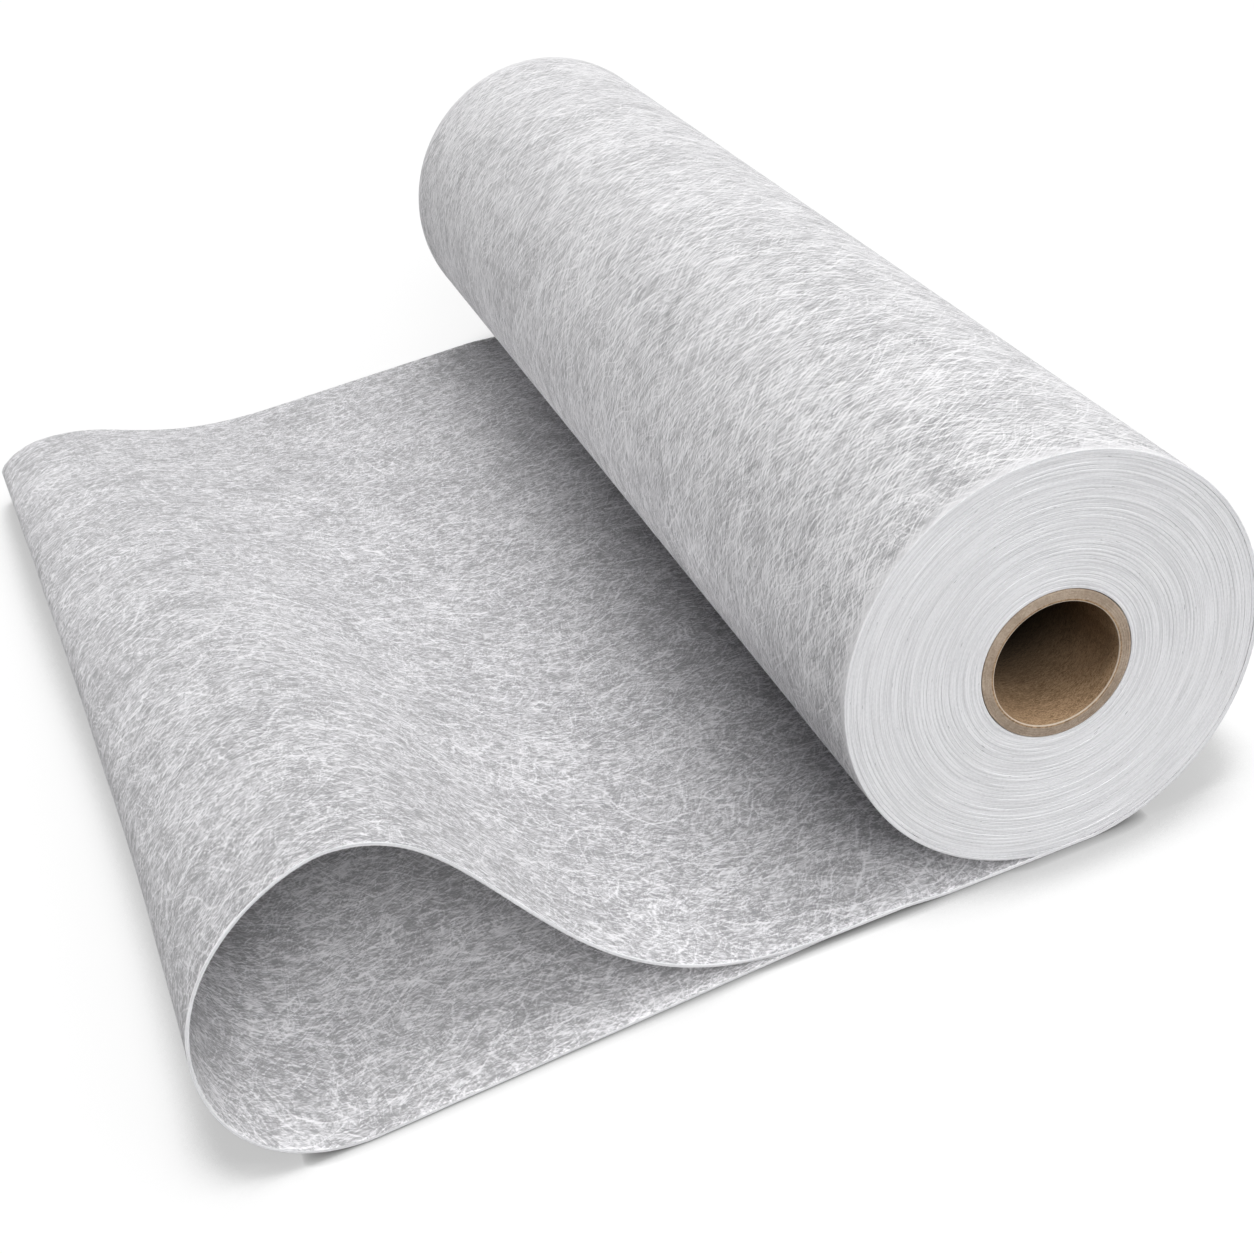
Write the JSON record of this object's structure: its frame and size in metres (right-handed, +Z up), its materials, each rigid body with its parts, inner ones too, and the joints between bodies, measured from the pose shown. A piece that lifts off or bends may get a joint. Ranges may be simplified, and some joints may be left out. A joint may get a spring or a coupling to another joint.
{
  "type": "waterproof membrane roll",
  "caption": "Roll of fleece-faced waterproof membrane on a paper core, its free end run out on the floor in a wave and folded back under itself.",
  "frame": {"origin": "the point of the floor under the middle of the roll, on the web's flat underside", "axes": "+Y along the core's axis from the near end to the far end, +Z up, the free end of the web lies towards -X"},
  "size_m": [0.7066, 1.0164, 0.2562],
  "materials": {
    "core_liner": "dark kraft paper, matt",
    "core_board": "grey-brown core board, matt",
    "core_wrap": "kraft paper, matt",
    "start_tape": "clear double-sided tape",
    "wound_web": "light grey fleece laminate, edge-on",
    "outer_fleece": "light grey fleece with white fibres",
    "waterproof_film": "white polyolefin film",
    "inner_fleece": "mottled light grey fleece"
  },
  "bodies": {
    "free_web": {"outer_fleece": "outer_fleece", "waterproof_film": "waterproof_film", "inner_fleece": "inner_fleece"},
    "wound_roll": {"core_liner": "core_liner", "core_ply_2": "core_board", "core_ply_3": "core_board", "core_ply_4": "core_board", "core_wrap": "core_wrap", "start_tape": "start_tape", "wound_web": "wound_web"}
  },
  "joints": [
    {"name": "roll_turn", "type": "hinge", "parent": "free_web", "child": "wound_roll", "pos_m": [0, 0, 0.128], "axis": [0, 1, 0], "continuous": true}
  ]
}
